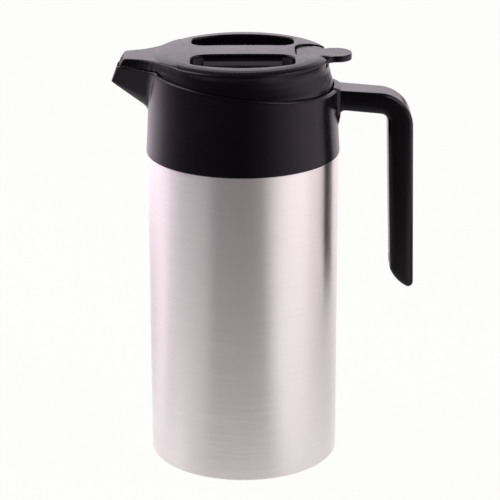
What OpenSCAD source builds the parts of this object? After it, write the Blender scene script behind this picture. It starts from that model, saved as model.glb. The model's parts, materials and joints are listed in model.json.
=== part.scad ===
// Thermal carafe with a lever lid: a double-walled steel flask with a black plastic collar, spout, handle and
// turning lid, whose thumb lever lifts a sprung valve in the stopper.
// The origin is the centre of the base. +Z is up, the spout points to -X and the handle to +X.

/* [Steel flask] */
// Radius of the steel body
body_r = 60; // [56:0.5:66]
// Height at which the steel goes under the collar
steel_h = 201.6; // [150:0.2:240]
// Thickness of the steel in the shell, the liner and the bottom plate
steel_t = 0.8; // [0.6:0.1:1.2]
// Space between the shell and the liner, which holds the vacuum
vacuum_gap = 6; // [4:0.5:8]
// Rounding of the shell's bottom edge
edge_r = 2; // [1.5:0.5:3]
// Width of the lip that the shell turns in at its bottom
lip_w = 6; // [4:0.5:8]
// Distance that the shell steps in under the collar
step_in = 2.8; // [2:0.2:4]
// Height of the stepped-in wall between the step and the shoulder
step_h = 8; // [6:0.5:12]
// Rounding of the shell's shoulder
shoulder_r = 15; // [12:0.5:17]
// Rounding of the liner's shoulder
liner_shoulder_r = 13; // [9:0.5:14]
// Rounding of the liner's bottom corner
liner_corner_r = 12; // [6:0.5:20]
// Height of the liner's floor above the foot
liner_z = 15; // [13:0.5:24]
// Radius of the neck's bore
neck_r = 34; // [31:0.5:35]
// Height of the neck above the shell's shoulder
neck_h = 13; // [11:0.5:16]
// Distance of the liner's shoulder below the shell's
liner_drop = 5; // [3:0.5:7]

/* [Base] */
// Height of the shell's bottom edge above the floor
foot_h = 0.8; // [0.5:0.1:1.5]
// Distance of the foot pad's edge inside the shell's lip
pad_in = 4; // [2:0.5:10]
// Thickness of the foot pad
pad_t = 1.6; // [1.6:0.1:2]
// Thickness of the base cover's flange
cover_t = 1.6; // [1.2:0.1:3]
// Height of the bottom plate's underside
plate_z = 9; // [7:0.5:11]
// Radius of the port through which the flask is pumped out
port_r = 4; // [3:0.5:6]
// Thickness of the cap over the port
port_cap_t = 1.2; // [0.8:0.1:2]
// Lap of that cap round the port
port_lap = 3; // [2:0.5:5]
// Height of the bottom plate's rim
plate_rim_h = 3; // [2:0.5:4]
// Distance of the cover's hollow inside the foot pad's edge
cover_step = 6; // [4:1:12]
// Thickness of the cover's floor above the foot pad
cover_floor = 1; // [0.8:0.1:1.4]

/* [Collar] */
// Height of the rim above the steel, measured on the carafe's axis
collar_h = 49; // [46:0.5:52]
// Distance that the collar's lower edge stands proud of the steel
collar_proud = 0.8; // [0.4:0.1:1.2]
// Amount by which the collar's radius shrinks from its lower edge to its rim
collar_taper = 1.4; // [0.8:0.1:1.6]
// Thickness of the wall round the lid
collar_wall = 2.6; // [2.2:0.1:2.8]
// Height of the collar's tapered part
collar_taper_h = 26; // [22:1:30]
// Height above the steel at which the collar's inside opens to the mouth
mouth_h = 20; // [18:0.5:22]
// Angle at which the rim rises towards the spout
rim_tilt = 6.85; // [4:0.05:7.2]
// Thickness of the deck between the neck and the wall
deck_t = 2.5; // [2:0.1:3]
// Height of the hub that stands on the shell's shoulder
hub_h = 8; // [6:0.5:8.5]
// Thickness of the hub's wall
hub_wall = 3; // [2:0.5:4]
// Thickness of the gasket under the hub
neck_gasket_t = 1; // [0.5:0.1:1.5]
// Lap of that gasket outside the hub
gasket_lap = 1; // [0.5:0.1:1.5]
// Width of the ring that clamps the deck to the neck
ring_w = 5.2; // [3.5:0.1:8]
// Width of the notches in that ring
notch_w = 6; // [4:0.5:8]
// Depth of those notches
notch_d = 1.5; // [1:0.1:2]
// Thickness of the ring under the notches
notch_z = 1.2; // [1:0.1:2]

/* [Spout] */
// Distance of the spout's tip out of the steel body
spout_len = 21.5; // [18:0.5:28]
// Height of the spout's tip above the steel
spout_tip_h = 44; // [42:0.5:46]
// Distance of the top of the spout's front edge behind the tip
spout_rake = 4.5; // [3:0.5:7]
// Height of the spout's top edge above the rim's height on the axis
spout_top = 6.7; // [6:0.1:6.9]
// Half width of the spout's top where it leaves the collar
spout_root_w = 20; // [15:0.5:22]
// Half width of the spout's top at its front
spout_front_w = 7.5; // [6:0.5:9]
// Rounding of the spout's underside where it leaves the collar
keel_r = 11; // [8:0.5:12]
// Rounding of the spout's underside at the tip
tip_r = 2.5; // [2:0.1:3]
// Thickness of the spout's walls
spout_wall = 2.2; // [1.6:0.1:2.2]
// Depth to which the spout's body reaches into the collar
spout_sink = 4; // [3:0.5:5]
// Height of the middle of the spout's underside above the deck, where it leaves the collar
keel_h = 0.8; // [0:0.1:2]

/* [Handle] */
// Width of the handle
handle_w = 24; // [20:0.5:28]
// Distance of the handle's back from the steel body, at the top corner
handle_out = 46.5; // [40:0.1:54]
// Height of the handle's top corner above the steel
handle_top = 36.8; // [35:0.1:37.4]
// Height from the handle's top corner down to its end
handle_len = 125.8; // [90:0.2:150]
// Thickness of the handle's arm
arm_t = 13; // [11:0.1:14]
// Thickness of the handle's grip, at the height of the top corner
grip_t = 16.3; // [15:0.1:18]
// Fall of the arm away from the collar, in degrees
arm_fall = 5.2; // [3:0.1:7]
// Lean of the grip's back away from the body, in degrees
grip_lean = 0.8; // [0:0.01:2]
// Lean of the grip's inner side away from the body, in degrees
front_lean = 1.55; // [0:0.01:2]
// Radius of the outer bend
bend_r = 23.4; // [18:0.2:26]
// Radius of the inner bend
inner_bend_r = 5; // [3:0.5:8]
// Rounding of the slanted end
end_cut_r = 23.8; // [22:0.2:26]
// Direction in which the tip's rounding runs into the slanted end, in degrees
end_dir = -119.3; // [-125:0.1:-112]
// Rounding of the tip of the slanted end
end_tip_r = 3.1; // [2.6:0.1:3.6]
// Thickness of the handle's walls
handle_wall = 3; // [2:0.1:4]
// Height of the solid end below the handle's hollow
end_solid = 16; // [12:1:24]
// Distance that the handle's boss stands out of the collar's upper wall
boss_out = 0.9; // [0.7:0.1:3]
// Radius of the hollow rounding under the handle's root
root_r = 3; // [2:0.5:4]
// Width by which the boss is wider than the handle
boss_extra = 2; // [1:0.5:3]
// Half distance between the two handle screws
handle_screw_y = 6.5; // [5:0.5:8]
// Radius of the handle screws
handle_screw_r = 1.25; // [1:0.05:1.4]
// Radius of the handle screws' heads
handle_head_r = 2.4; // [2:0.1:2.6]
// Length of the handle screws, head included
handle_screw_len = 14; // [10:1:18]
// Length of the screws' heads
handle_head_t = 2; // [1.5:0.1:2.2]

/* [Stopper] */
// Depth of the stopper below the neck's lip
stopper_depth = 22; // [18:0.5:24]
// Thickness of the stopper's wall
stopper_wall = 2.4; // [1.8:0.1:3]
// Distance between the stopper's wall and the neck
stopper_gap = 1.4; // [1:0.1:2]
// Distance that the flange on the neck's lip reaches out of the neck's bore
flange_w = 9; // [6:0.5:10]
// Thickness of that flange
flange_t = 2.2; // [1.6:0.1:2.4]
// Height of the pouring opening above the flange
outlet_h = 3.8; // [3:0.1:4]
// Half width of the pouring opening
outlet_w = 19; // [12:0.5:22]
// Half width of the air inlet at the back
air_w = 4; // [2:0.5:8]
// Thickness of the stopper's cap
cap_t = 2; // [1.6:0.1:2.2]
// Outer radius of the cap's guide tube
guide_r = 7.5; // [6.5:0.1:7.6]
// Height of the guide tube above the lid's base plate
guide_h = 2.4; // [2.2:0.1:2.6]
// Thickness of the clip that holds the lid on the guide tube
clip_t = 1; // [0.8:0.1:1.2]
// Depth of the clip's groove
groove_d = 0.8; // [0.6:0.1:1]
// Width of the clip's opening
clip_open = 3; // [2:0.5:5]
// Height of the stopper's gasket
gasket_h = 6; // [4:0.5:8]
// Height of the gasket's lower edge above the stopper's bottom
gasket_up = 5; // [4:0.5:7]
// Depth of the gasket's seat in the stopper's wall
gasket_in = 1; // [0.8:0.1:1.4]
// Radius of the valve's seat
seat_r = 11; // [8:0.5:12]

/* [Valve] */
// Radius of the valve's stem
stem_r = 3; // [2.5:0.1:3.2]
// Radius of the stem where the lever's fork holds it
stem_neck_r = 2; // [1.6:0.1:2.2]
// Thickness of the foot that holds the seal on the stem
stem_foot_t = 1.8; // [1.4:0.1:2.2]
// Distance of that foot's edge inside the valve's seat
stem_foot_in = 3; // [2:0.5:4]
// Radius of the valve's disc
valve_r = 14; // [13:0.5:18]
// Thickness of the valve's disc
valve_t = 2; // [1.5:0.1:3]
// Thickness of the valve's seal
seal_t = 2; // [1.5:0.1:2.5]
// Radius of the spring's wire
wire_r = 0.6; // [0.4:0.05:0.8]
// Mean radius of the spring
spring_r = 5.2; // [4.6:0.1:6.6]
// Number of turns in the spring
spring_turns = 5; // [4:1:6]
// Radius of the head on top of the stem
head_r = 4.4; // [3.6:0.1:5]
// Thickness of that head
head_t = 1.8; // [1.2:0.1:1.9]

/* [Lid] */
// Height of the lid's crown above the rim's height on the axis
lid_rise = 15.8; // [15.6:0.1:18]
// Distance of the lid's top edge inside the collar's mouth
lid_in = 2.4; // [2:0.1:3.8]
// Height of the lid's crown above its top edge
lid_crown = 2.3; // [1.8:0.1:2.6]
// Part of that height that the top edge's own slope takes
rim_fall = 0.1; // [0.1:0.1:0.4]
// Rounding of the lid's top edge
lid_round = 0.6; // [0.4:0.1:0.8]
// Depth of the tuck in the lid's side under its top edge
tuck_d = 0.9; // [0.4:0.1:1.2]
// Height from the lid's top edge down to the straight skirt
tuck_h = 19; // [17:0.5:20]
// Thickness of the lid's top
lid_t = 2.2; // [1.6:0.1:2.3]
// Thickness of the lid's skirt
skirt_t = 2; // [1.5:0.1:2.4]
// Running gap between the lid's skirt and the collar
skirt_gap = 0.7; // [0.4:0.1:1]
// Gap between the lid's skirt and the deck
skirt_lift = 2; // [1:0.5:3]
// Width of the grip bar between the two finger pits
grip_bar = 23.2; // [22:0.2:26]
// Length of each finger pit
pit_len = 64; // [56:1:66]
// Distance of a finger pit's outer edge inside the lid's top edge, measured across the grip bar
pit_in = 13.9; // [12.9:0.1:18]
// Radius of a finger pit's outer edge
pit_edge_r = 57.3; // [50:0.5:70]
// Rounding of a finger pit's corners at the grip bar
pit_corner_r = 9; // [6:0.5:10]
// Rounding of a finger pit's outer corners
pit_tip_r = 6; // [4:0.5:8]
// Depth of the ledge in a finger pit below the lid's crown
ledge_drop = 4.6; // [3.5:0.1:6]
// Width of that ledge
ledge_w = 3; // [2:0.5:5]
// Fall of the ledge's top over its width
ledge_fall = 1.4; // [0.5:0.1:2]
// Half length of the ledge
ledge_len = 24.5; // [18:0.5:25]
// Thickness of the finger pits' walls and floors
pit_wall = 2; // [1.6:0.1:2.2]
// Thickness of the lid's base plate
base_t = 2; // [1.6:0.1:2.2]
// Distance of the base plate's edge inside the lid's top edge
base_in = 3.9; // [3.4:0.1:5]
// Distance of the lid's screws inside the base plate's edge
lid_screw_in = 3.9; // [3.7:0.1:4.1]
// Radius of the lid's screws
lid_screw_r = 1.3; // [1:0.1:1.5]
// Length of the lid's screws above their heads
lid_screw_len = 9; // [7:0.5:9]
// Radius of those heads
lid_head_r = 2.8; // [2.4:0.1:3.2]
// Thickness of those heads
lid_head_t = 1.4; // [1:0.1:1.6]
// Radius of the bosses that the lid's screws go into
lid_boss_r = 3.4; // [2.8:0.1:3.5]
// Distance of those bosses' tops below the lid's crown
lid_boss_drop = 2.8; // [2.4:0.1:4]
// Half width of the pouring window in the skirt
window_w = 17; // [10:0.5:18]

/* [Bill] */
// Distance of the bill's front edge behind the spout's tip
bill_back = 4.7; // [3.5:0.1:7]
// Distance inside the lid's top edge where the bill leaves the lid
bill_root_in = 3.9; // [3.5:0.1:5]
// Half width of the bill where it leaves the lid
bill_root_w = 22; // [18:0.5:24]
// Half width of the bill at its middle
bill_mid_w = 14.5; // [12:0.5:16]
// Half width of the bill at its front
bill_front_w = 9; // [7.5:0.5:10.5]
// Height of the bill's top below the lid's crown
bill_drop = 3.4; // [3:0.1:4]
// Gap between the bill and the spout
bill_gap = 1; // [0.7:0.1:1.4]
// Rake of the bill's front, in degrees
bill_rake = 35; // [20:1:40]

/* [Thumb lever] */
// Distance that the lever's thumb tab stands out of the lid's top edge
tab_out = 13.3; // [10:0.1:16]
// Half width of the lever's thumb tab
tab_w = 11; // [9:0.2:12]
// Half width of the lever's plate inside the lid
plate_w = 16; // [14:0.5:17]
// Distance of the plate's inner edge inside the lid's top edge
plate_in = 21.4; // [19.4:0.1:21.6]
// Rounding of the plate's inner corners
plate_corner_r = 9; // [6:0.5:10]
// Thickness of the plate
plate_t = 3.9; // [3.6:0.1:4]
// Depth of the plate's top below the lid's crown
plate_drop = 1.5; // [1.4:0.1:1.8]
// Fillet between the tab and the plate
tab_fillet_r = 4; // [2:0.5:5]
// Slit round the plate
lever_slit = 0.6; // [0.4:0.05:0.8]
// Distance of the lever's pin inside the lid's top edge
pin_in = 14.4; // [13.4:0.1:14.9]
// Radius of the lever's pin
pin_r = 1.5; // [1.2:0.05:1.6]
// Depth of the pin below the lid's crown
pin_drop = 8.2; // [8.1:0.1:8.3]
// Thickness of the lever's arm
lever_arm_t = 2; // [1.6:0.1:2.2]
// Half width of the lever's arm
lever_arm_w = 4.5; // [4:0.1:6]
// Distance of the arm's underside below the pin's axis
lever_arm_drop = 3; // [2.8:0.1:3.4]
// Thickness of the ribs that carry the pin
rib_t = 3.4; // [3:0.1:4]
// Wall round the pin in the ribs and in the lever's hub
pin_wall = 1.7; // [1.4:0.1:2]
// Depth of the lever's opening in the lid below the plate
slot_low = 2.2; // [2:0.1:2.4]
// Width of the pits' walls that the lever's opening takes away
rib_lap = 0.8; // [0.6:0.1:1]

/* [Fits] */
// Radial clearance of parts that turn or slide in one another
run_gap = 0.06; // [0.03:0.01:0.09]
// Clearance of parts that are pushed together and stay
fit_gap = 0.1; // [0.05:0.01:0.2]
// Gap between faces that rest on each other across a joint
seat_gap = 0.05; // [0.02:0.01:0.1]
// Gap between parts that only pass each other
pass_gap = 0.4; // [0.3:0.05:0.5]

/* [Hidden] */
$fn = 96;
eps = 0.01;
// Length by which a cut runs out of the part
beyond = 300;
// Steps in a rounded stretch of an outline
arc_n = 8;

// Heights of the flask, from the floor up
lip_z = foot_h + steel_t;
pad_r = body_r - lip_w - pad_in;
wall_r = body_r - step_in;
step_z = steel_h + step_in;
shoulder_z = step_z + step_h;
shell_top = shoulder_z + shoulder_r;
neck_top = shell_top + neck_h;
liner_r = body_r - steel_t - vacuum_gap;
neck_out_r = neck_r + steel_t;
shell_neck_r = neck_out_r + 2 * fit_gap + steel_t;
neck_ring_r = shell_neck_r + ring_w;
liner_top = shell_top - liner_drop;

// Heights and radii of the collar
deck_z = shell_top + neck_gasket_t + hub_h;
rim_z = steel_h + collar_h;
collar_low_r = body_r + collar_proud;
spout_reach = body_r + spout_len;
collar_top_r = collar_low_r - collar_taper;
mouth_r = collar_top_r - collar_wall;
lid_r = mouth_r - lid_in;
pit_reach = lid_r - pit_in;
base_r = lid_r - base_in;
lid_screw_x = base_r - lid_screw_in;
bill_reach = spout_reach - bill_back;
bill_x = lid_r - bill_root_in;
lever_reach = lid_r + tab_out;
plate_x = lid_r - plate_in;
pin_x = lid_r - pin_in;
hub_r = shell_neck_r + pass_gap;
spout_top_z = rim_z + spout_top;

// Heights of the stopper and of the lid on it
stopper_r = neck_r - stopper_gap;
flange_r = neck_r + flange_w;
stopper_in_r = stopper_r - stopper_wall;
stopper_z = neck_top - stopper_depth;
seat_z = stopper_z + stopper_wall;
gasket_z = stopper_z + gasket_up;
flange_z = neck_top + seat_gap;
crown_z = flange_z + flange_t + outlet_h;
cap_z = crown_z + cap_t;
base_z = cap_z + 2 * seat_gap;
pit_z = base_z + base_t;
lid_z = rim_z + lid_rise;
edge_z = lid_z - lid_crown;
skirt_z = deck_z + skirt_lift;
skirt_r = mouth_r - skirt_gap;

// Places of the lever and the valve
plate_top = lid_z - plate_drop;
plate_z0 = plate_top - plate_t;
pin_z = lid_z - pin_drop;
hub_half = grip_bar / 2 - pit_wall - pass_gap;
lever_arm_z = pin_z - lever_arm_drop;
rib_y = grip_bar / 2 - pit_wall / 2 + 0.7;
head_z = lever_arm_z + lever_arm_t + pass_gap;
guide_top = pit_z + guide_h;
guide_z = neck_top;
clip_z = pit_z + 0.3;
valve_z = seat_z + seat_gap + seal_t;
stem_z = seat_z - stem_foot_t;
stem_shoulder_z = guide_top + 1;
spring_z0 = valve_z + valve_t + seat_gap;
spring_z1 = guide_z - seat_gap;

// Lines of the handle
arm_dir = [cos(arm_fall), -sin(arm_fall)];
grip_dir = [sin(grip_lean), -cos(grip_lean)];
boss_x = collar_top_r + boss_out;
corner = [body_r + handle_out, steel_h + handle_top];
handle_x0 = boss_x + seat_gap;
handle_tip = corner + grip_dir * (handle_len - end_tip_r) / cos(grip_lean) - [end_tip_r, 0];
hollow_z = handle_tip.y + end_solid;
cut_c = handle_tip - (end_cut_r - end_tip_r) * [cos(end_dir), sin(end_dir)];
screw_z = deck_z + handle_head_r + 2 * fit_gap;
screw_seat = mouth_r + handle_head_t + 0.3;
handle_block = handle_x0 + handle_screw_len - handle_head_t;

// Line of the spout's underside
tip_z = steel_h + spout_tip_h;
tip_c = [-spout_reach + tip_r, tip_z + tip_r / 2];
keel_c = [-mouth_r + keel_r / 2, deck_z + keel_h];

// Points of an arc with centre c, from angle a0 to angle a1
function arc(c, r, a0, a1) = [for (i = [0:arc_n])
    let(a = a0 + (a1 - a0) * i / arc_n)
    c + r * [cos(a), sin(a)]];

// The points of a list in the other order
function back(p) = [for (i = [len(p) - 1:-1:0]) p[i]];

// The same points mirrored from X to -X
function flip(p) = [for (q = p) [-q.x, q.y]];

// Surface of the outer shell, d inside its outer face
function shell_path(d) = concat(
    [[body_r - lip_w, foot_h + d]],
    arc([body_r - edge_r, foot_h + edge_r], edge_r - d, -90, 0),
    [[body_r - d, steel_h - 0.4 * d], [wall_r - d, step_z - 0.4 * d]],
    arc([wall_r - shoulder_r, shoulder_z], shoulder_r - d, 0, 90),
    [[shell_neck_r - d, shell_top - d], [shell_neck_r - d, neck_top - steel_t]]);

// Surface of the inner liner, d inside its outer face
function liner_path(d) = concat(
    [[0, liner_z - steel_t + d]],
    arc([liner_r - liner_corner_r, liner_z - steel_t + liner_corner_r], liner_corner_r - d, -90, 0),
    arc([liner_r - liner_shoulder_r, liner_top - liner_shoulder_r], liner_shoulder_r - d, 0, 90),
    [[neck_out_r - d, liner_top - d], [neck_out_r - d, neck_top - steel_t * (1 - d / steel_t)]]);

// Ring between two radii
module ring(r_out, r_in, z0, z1) {
    translate([0, 0, z0]) difference() {
        cylinder(h = z1 - z0, r = r_out);
        translate([0, 0, -1]) cylinder(h = z1 - z0 + 2, r = r_in);
    }
}

// Solid between two heights, from an outline seen from above
module slab(z0, z1) {
    translate([0, 0, z0]) linear_extrude(z1 - z0) children();
}

// Solid of a width across Y, from an outline in X and Z
module across(w) {
    rotate([90, 0, 0]) translate([0, 0, -w / 2]) linear_extrude(w) children();
}

module outer_shell() {
    color("silver") rotate_extrude() polygon(concat(shell_path(0), back(shell_path(steel_t))));
}

// The liner's top turns out over the end of the shell's neck
module inner_liner() {
    color("gainsboro") rotate_extrude() polygon(concat(
        liner_path(0),
        [[shell_neck_r, neck_top - steel_t], [shell_neck_r, neck_top]],
        back(liner_path(steel_t))));
}

module bottom_plate() {
    plate_r = body_r - steel_t - fit_gap;
    color("silver") {
        ring(plate_r, port_r, plate_z, plate_z + steel_t);
        ring(plate_r, plate_r - steel_t, plate_z - plate_rim_h, plate_z + eps);
    }
}

module vacuum_port_cap() {
    color("dimgray") translate([0, 0, plate_z - port_cap_t]) cylinder(h = port_cap_t, r = port_r + port_lap);
}

// The cover fills the opening in the shell's bottom, and its flange lies on the shell's lip
module base_cover() {
    color("dimgray") difference() {
        union() {
            translate([0, 0, foot_h]) cylinder(h = steel_t + cover_t, r = body_r - lip_w - fit_gap);
            translate([0, 0, lip_z]) cylinder(h = cover_t, r = body_r - edge_r - steel_t);
        }
        translate([0, 0, foot_h - 1]) cylinder(h = 1 + pad_t - foot_h, r = pad_r + fit_gap);
        translate([0, 0, lip_z + cover_floor]) cylinder(h = cover_t, r = pad_r - cover_step);
    }
}

module foot_pad() {
    color("black") cylinder(h = pad_t, r = pad_r);
}

// Outline of the collar's wall, from the lower edge to above the highest point of the rim
module collar_wall_profile() {
    top = spout_top_z + step_in;
    polygon([[body_r + fit_gap, steel_h], [collar_low_r, steel_h],
        [collar_low_r - 0.6 * collar_taper, steel_h + collar_taper_h / 2],
        [collar_top_r, steel_h + collar_taper_h], [collar_top_r, top],
        [mouth_r, top], [mouth_r, steel_h + mouth_h],
        [wall_r + pass_gap, shoulder_z - 2 * pass_gap], [wall_r + pass_gap, step_z + pass_gap],
        [body_r + fit_gap, steel_h + pass_gap]]);
}

// Everything above the tilted rim
module above_rim() {
    translate([0, 0, rim_z]) rotate([0, rim_tilt, 0])
        translate([-beyond / 2, -beyond / 2, 0]) cube([beyond, beyond, beyond]);
}

// The spout's body, its surface moved in by d, its front moved out by ahead
module spout_body(d, ahead, lift) {
    keel_dir = (tip_c - keel_c) / norm(tip_c - keel_c);
    tip = tip_c + keel_dir * ahead;
    front = spout_reach - spout_rake + ahead;
    root = mouth_r + collar_wall / 2;
    hull() {
        slab(spout_top_z - pass_gap, spout_top_z + lift)
            polygon([[-root + spout_sink, -spout_root_w + d], [-root + spout_sink, spout_root_w - d],
                [-root, spout_root_w - d], [-front, spout_front_w - d],
                [-front, -spout_front_w + d], [-root, -spout_root_w + d]]);
        translate([keel_c.x, 0, keel_c.y]) sphere(r = keel_r - d, $fn = 32);
        translate([tip.x, 0, tip.y]) sphere(r = max(tip_r - d, pass_gap), $fn = 24);
    }
}

// The part of the handle's arm that stands on the collar's wall
module handle_boss() {
    difference() {
        across(handle_w + boss_extra) polygon([[mouth_r + pass_gap, arm_z(mouth_r, 0)],
            [boss_x, arm_z(boss_x, 0)], [boss_x, arm_z(boss_x, arm_t) - root_r],
            [mouth_r + pass_gap, arm_z(mouth_r, arm_t + inner_bend_r)]]);
        cylinder(h = 2 * rim_z, r = mouth_r + pass_gap);
    }
}

// Height of the arm's top at x, less a depth into the arm
function arm_z(x, depth) = corner.y + (corner.x - x) * tan(arm_fall) - depth / cos(arm_fall);

// Two screws, or the holes for them, from inside the collar's wall into the handle, wider by g
module handle_screw_set(g, head_x) {
    for (y = [-handle_screw_y, handle_screw_y]) translate([0, y, screw_z]) rotate([0, 90, 0]) {
        translate([0, 0, screw_seat - eps])
            cylinder(h = handle_screw_len - handle_head_t, r = handle_screw_r + g);
        translate([0, 0, head_x]) cylinder(h = screw_seat - head_x, r = handle_head_r + g);
    }
}

module collar() {
    color("#151316") difference() {
        union() {
            difference() {
                rotate_extrude() collar_wall_profile();
                above_rim();
            }
            ring(mouth_r + collar_wall / 2, hub_r, deck_z - deck_t, deck_z);
            ring(hub_r + hub_wall, hub_r, shell_top + neck_gasket_t, deck_z - eps);
            difference() {
                spout_body(0, 0, 0);
                translate([0, 0, shoulder_z]) cylinder(h = beyond, r = mouth_r + pass_gap);
            }
            handle_boss();
        }
        intersection() {
            spout_body(spout_wall, 4 * tip_r, spout_wall);
            translate([-beyond, -beyond / 2, deck_z]) cube([beyond, beyond, beyond]);
        }
        handle_screw_set(fit_gap, mouth_r - collar_wall);
    }
}

module neck_gasket() {
    color("white") ring(hub_r + hub_wall + gasket_lap, hub_r, shell_top, shell_top + neck_gasket_t);
}

// Four notches take the tool that tightens the ring
module neck_ring() {
    color("#202022") difference() {
        ring(neck_ring_r, shell_neck_r + fit_gap, deck_z, neck_top - pass_gap);
        for (a = [45:90:315]) rotate([0, 0, a])
            translate([neck_ring_r - notch_d, -notch_w / 2, deck_z + notch_z])
                cube([2 * notch_d, notch_w, neck_h]);
    }
}

// Outline of the handle's back, d inside its outer face, from x0 to the height z1
function handle_back(d, x0, z1) = let(
        turn = 90 - arm_fall + grip_lean,
        t = bend_r * tan(turn / 2),
        c = corner - arm_dir * t + [-sin(arm_fall), -cos(arm_fall)] * bend_r)
    concat(
        [[x0, arm_z(x0, d)]],
        arc(c, bend_r - d, 90 - arm_fall, grip_lean),
        [[back_x(z1) - d, z1]]);

// Outline of the handle's inner side, d inside its outer face
function handle_front(d, x0, z1) = let(
        in_x = front_x(corner.y - arm_t),
        in_c = [in_x, arm_z(in_x, arm_t)],
        turn = 90 - arm_fall + front_lean,
        t = inner_bend_r * tan(turn / 2),
        c = in_c - arm_dir * t + [-sin(arm_fall), -cos(arm_fall)] * inner_bend_r)
    concat(
        [[x0, arm_z(x0, arm_t - d)]],
        arc(c, inner_bend_r + d, 90 - arm_fall, front_lean),
        [[front_x(z1) + d, z1]]);

// X of the grip's back at a height
function back_x(z) = corner.x + (corner.y - z) * tan(grip_lean);

// X of the grip's inner side at a height
function front_x(z) = corner.x - grip_t + (corner.y - z) * tan(front_lean);

// Outline of the whole handle with its slanted end
module handle_outline() {
    cut_z = handle_tip.y + 0.75 * end_solid;
    cut_dir = -acos((front_x(cut_z) - cut_c.x) / end_cut_r);
    root_x = handle_x0 + root_r;
    root_c = [root_x, arm_z(root_x, arm_t) - root_r / cos(arm_fall)];
    polygon(concat(
        handle_back(0, handle_x0, handle_tip.y + end_tip_r),
        arc(handle_tip, end_tip_r, 0, end_dir),
        arc(cut_c, end_cut_r, end_dir - 1, cut_dir),
        back(concat(arc(root_c, root_r, 180, 90 - arm_fall),
            handle_front(0, root_x + root_r, cut_z)))));
}

// The shell is open on its inner side, where the insert closes it
module handle_shell() {
    color("#121113") difference() {
        across(handle_w) handle_outline();
        across(handle_w - 2 * handle_wall) polygon(concat(
            handle_back(handle_wall, handle_block, hollow_z),
            back(handle_front(-handle_wall, handle_block, hollow_z))));
        handle_screw_set(0, screw_seat - handle_head_t);
    }
}

module handle_insert() {
    gap = fit_gap;
    color("#1c1b1d") across(handle_w - 2 * handle_wall - 2 * gap) polygon(concat(
        handle_front(handle_wall, handle_block + gap, hollow_z + gap),
        back(handle_front(0, handle_block + gap, hollow_z + gap))));
}

module handle_screws() {
    color("lightgray") handle_screw_set(0, screw_seat - handle_head_t);
}

// The cup hangs in the neck by its flange, and its floor is the valve's seat
module stopper_cup() {
    color("#2a2a2c") difference() {
        union() {
            translate([0, 0, stopper_z]) cylinder(h = crown_z - stopper_z, r = stopper_r);
            translate([0, 0, flange_z]) cylinder(h = flange_t, r = flange_r);
        }
        translate([0, 0, seat_z]) cylinder(h = crown_z, r = stopper_in_r);
        translate([0, 0, stopper_z - 1]) cylinder(h = stopper_wall + 2, r = seat_r);
        translate([-2 * stopper_r, -outlet_w, flange_z + flange_t])
            cube([2 * stopper_r, 2 * outlet_w, 2 * outlet_h]);
        translate([0, -air_w, flange_z + flange_t]) cube([2 * stopper_r, 2 * air_w, 2 * outlet_h]);
        ring(stopper_r + 1, stopper_r - gasket_in, gasket_z, gasket_z + gasket_h);
    }
}

// Two lips close the space between the cup and the neck
module stopper_gasket() {
    inner = stopper_r - gasket_in;
    lip = gasket_h / 6;
    color("white") union() {
        ring(stopper_r + 0.4, inner, gasket_z, gasket_z + gasket_h);
        ring(neck_r - run_gap, inner, gasket_z + lip / 2, gasket_z + 1.5 * lip);
        ring(neck_r - run_gap, inner, gasket_z + gasket_h - 1.5 * lip, gasket_z + gasket_h - lip / 2);
    }
}

// The cap closes the cup, guides the valve's stem and carries the lid
module stopper_cap() {
    color("#2a2a2c") difference() {
        union() {
            translate([0, 0, crown_z]) cylinder(h = cap_t, r = stopper_r);
            ring(stopper_in_r - fit_gap, stopper_in_r - cap_t, crown_z - cap_t / 2, crown_z + eps);
            translate([0, 0, guide_z]) cylinder(h = guide_top - guide_z, r = guide_r);
        }
        translate([0, 0, guide_z - 1]) cylinder(h = guide_top, r = stem_r + run_gap);
        ring(guide_r + 1, guide_r - groove_d, clip_z, clip_z + clip_t);
    }
}

// A snap ring in the guide tube's groove keeps the lid on the stopper
module retaining_clip() {
    color("silver") difference() {
        ring(hub_half, guide_r - groove_d + fit_gap, clip_z + seat_gap, clip_z + clip_t - seat_gap);
        translate([0, -clip_open / 2, clip_z - 1]) cube([2 * guide_r, clip_open, 4 * clip_t]);
    }
}

module valve_stem() {
    color("#d8d8d8") union() {
        translate([0, 0, stem_z]) cylinder(h = stem_shoulder_z - stem_z, r = stem_r);
        translate([0, 0, stem_z]) cylinder(h = seat_z - stem_z, r = seat_r - stem_foot_in);
        translate([0, 0, stem_shoulder_z - eps])
            cylinder(h = head_z + head_t - stem_shoulder_z, r = stem_neck_r);
    }
}

module valve_disc() {
    color("#2a2a2c") ring(valve_r, stem_r + fit_gap, valve_z, valve_z + valve_t);
}

module valve_seal() {
    color("white") ring(valve_r - 0.5, stem_r + fit_gap, valve_z - seal_t, valve_z);
}

module stem_head() {
    color("#2a2a2c") ring(head_r, stem_neck_r + fit_gap, head_z, head_z + head_t);
}

// One point of the spring's wire, at a share of its length and an angle round the wire
function coil_point(s, b) = let(
        a = 360 * spring_turns * s,
        r = spring_r + wire_r * cos(b))
    [r * cos(a), r * sin(a), spring_z0 + wire_r + (spring_z1 - spring_z0 - 2 * wire_r) * s + wire_r * sin(b)];

module valve_spring() {
    sides = 8;
    rings = 16 * spring_turns;
    points = [for (i = [0:rings]) for (k = [0:sides - 1]) coil_point(i / rings, -360 * k / sides)];
    walls = [for (i = [0:rings - 1]) for (k = [0:sides - 1]) let(n = (k + 1) % sides)
        each [[i * sides + k, i * sides + n, (i + 1) * sides + k],
            [i * sides + n, (i + 1) * sides + n, (i + 1) * sides + k]]];
    start = [for (k = [1:sides - 2]) [0, k + 1, k]];
    finish = [for (k = [1:sides - 2]) [rings * sides, rings * sides + k, rings * sides + k + 1]];
    color("silver") polyhedron(points, concat(walls, start, finish));
}

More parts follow.
